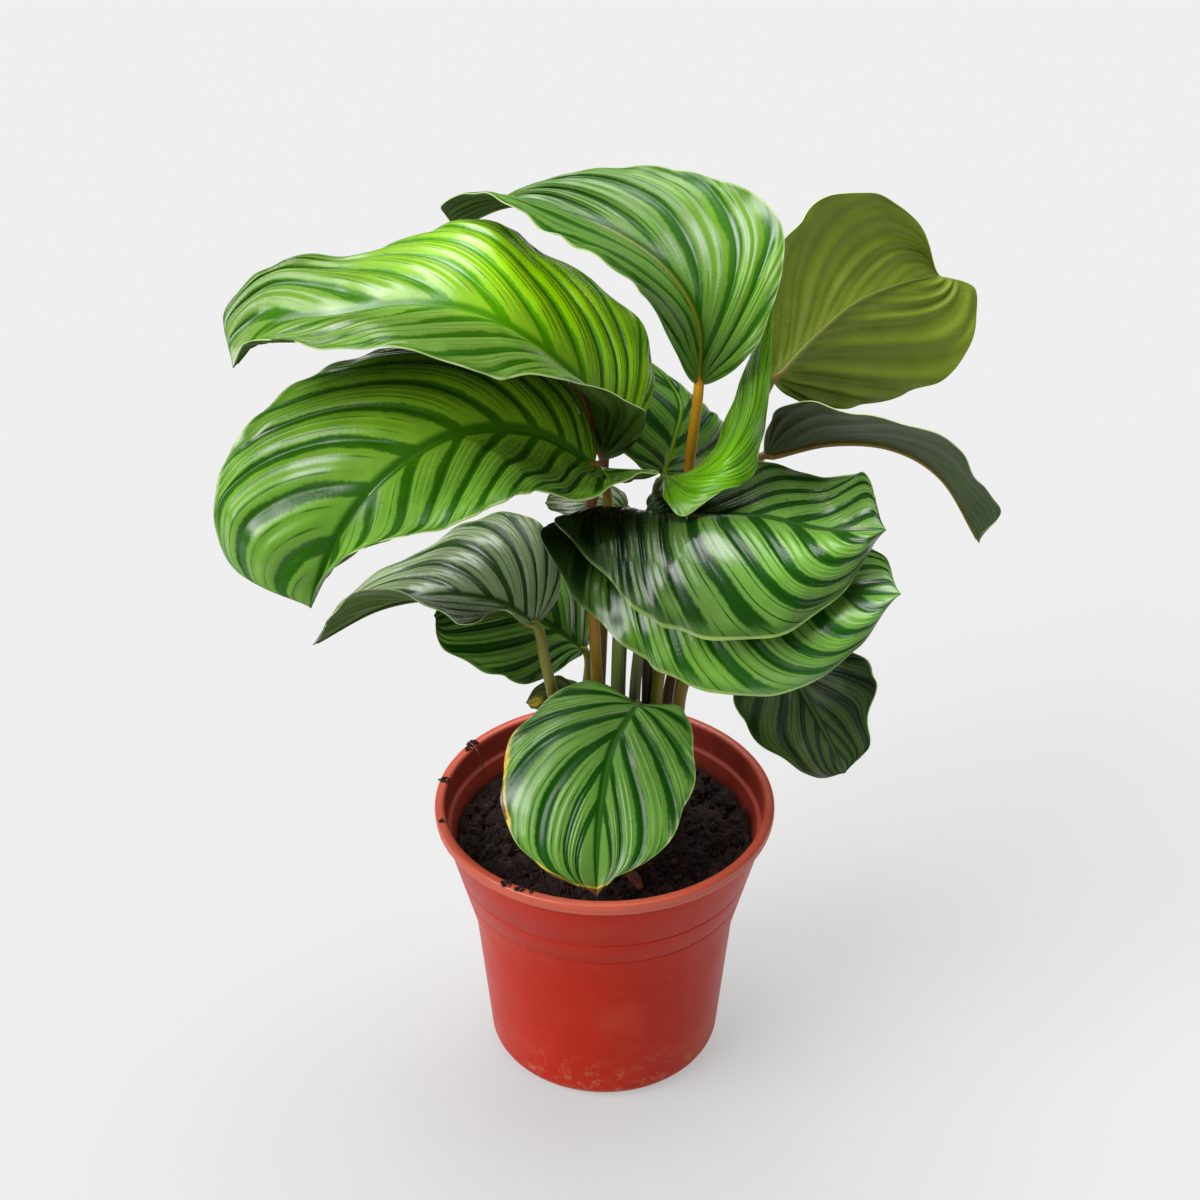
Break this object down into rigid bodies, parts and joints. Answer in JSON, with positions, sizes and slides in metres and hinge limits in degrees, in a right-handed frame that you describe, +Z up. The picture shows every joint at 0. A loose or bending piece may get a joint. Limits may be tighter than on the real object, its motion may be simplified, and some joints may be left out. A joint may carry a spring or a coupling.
{
  "type": "potted calathea",
  "caption": "House plant with round, pleated, silver-banded leaves on upright stalks in soil, in a tapered nursery pot with a thick rolled lip.",
  "frame": {"origin": "centre of the pot's flat base", "axes": "+Z up along the pot's axis; the side seen in the picture faces -Y, with +X to its right"},
  "size_m": [0.363, 0.2424, 0.4481],
  "materials": {
    "pot_plastic": "satin terracotta-red moulded plastic, paler scuffed lip, dusty foot",
    "soil": "dark brown crumbly peat and coir potting soil with fine fibres",
    "leaf": "living leaf, semi-gloss, dark green bands between silvery stripes, olive underside"
  },
  "bodies": {
    "root": {"pot": "pot_plastic", "soil": "soil", "leaf_top": "leaf", "leaf_left_upper": "leaf", "leaf_left_broad": "leaf", "leaf_left_grey": "leaf", "leaf_left_shaded": "leaf", "leaf_front": "leaf", "leaf_small_back": "leaf", "leaf_right_broad": "leaf", "leaf_right_under": "leaf", "leaf_right_hanging": "leaf", "leaf_right_raised": "leaf", "leaf_right_drooping": "leaf", "leaf_centre_back": "leaf", "leaf_young_rolled": "leaf", "leaf_young_left": "leaf"}
  },
  "joints": []
}
